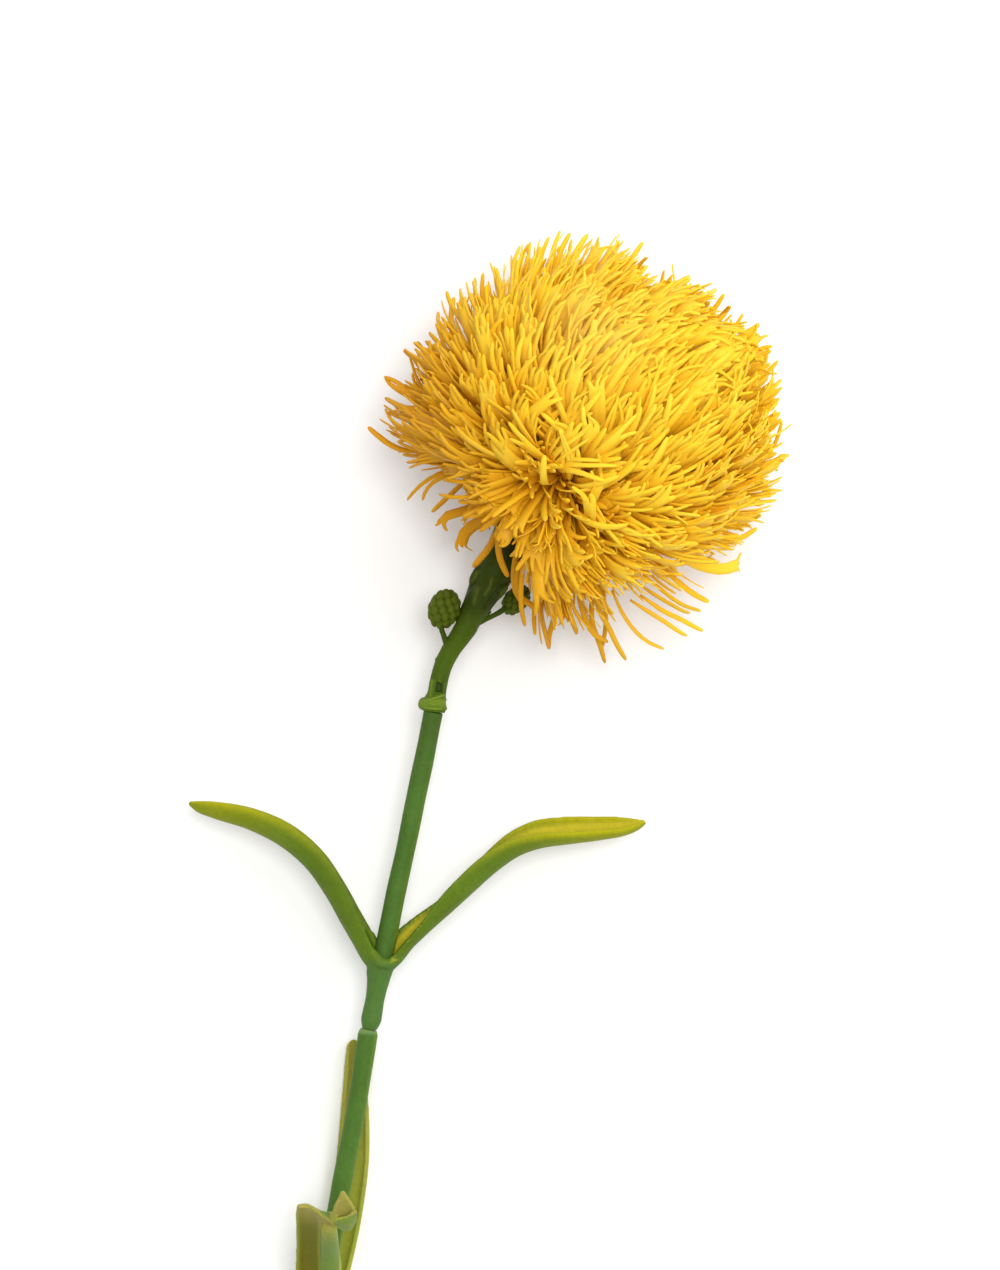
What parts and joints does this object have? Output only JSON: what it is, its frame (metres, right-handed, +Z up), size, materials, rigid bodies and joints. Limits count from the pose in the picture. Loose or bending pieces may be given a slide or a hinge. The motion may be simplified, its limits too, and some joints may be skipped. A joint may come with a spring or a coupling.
{
  "type": "cut pincushion protea",
  "caption": "Cut pincushion flower lying on a surface: a round head of forked yellow straps on a jointed green stem with leaf pairs and side buds.",
  "frame": {"origin": "on the surface the flower lies on, under the middle of its outline seen from above", "axes": "+Z up from the surface, +Y along the stem from the cut end towards the head, +X to the right seen from above"},
  "size_m": [0.1366, 0.3482, 0.081],
  "materials": {
    "petal_yellow": "satin",
    "calyx_green": "satin",
    "neck_green": "satin",
    "bud_green": "satin",
    "stem_green": "satin",
    "leaf_green": "satin"
  },
  "bodies": {
    "root": {"bloom": "petal_yellow", "calyx": "calyx_green", "neck": "neck_green", "bud_left": "bud_green", "bud_right": "bud_green", "stem_upper": "stem_green", "leaf_pair_upper": "leaf_green", "stem_lower": "stem_green", "leaf_pair_lower": "leaf_green", "stem_base": "stem_green"}
  },
  "joints": []
}
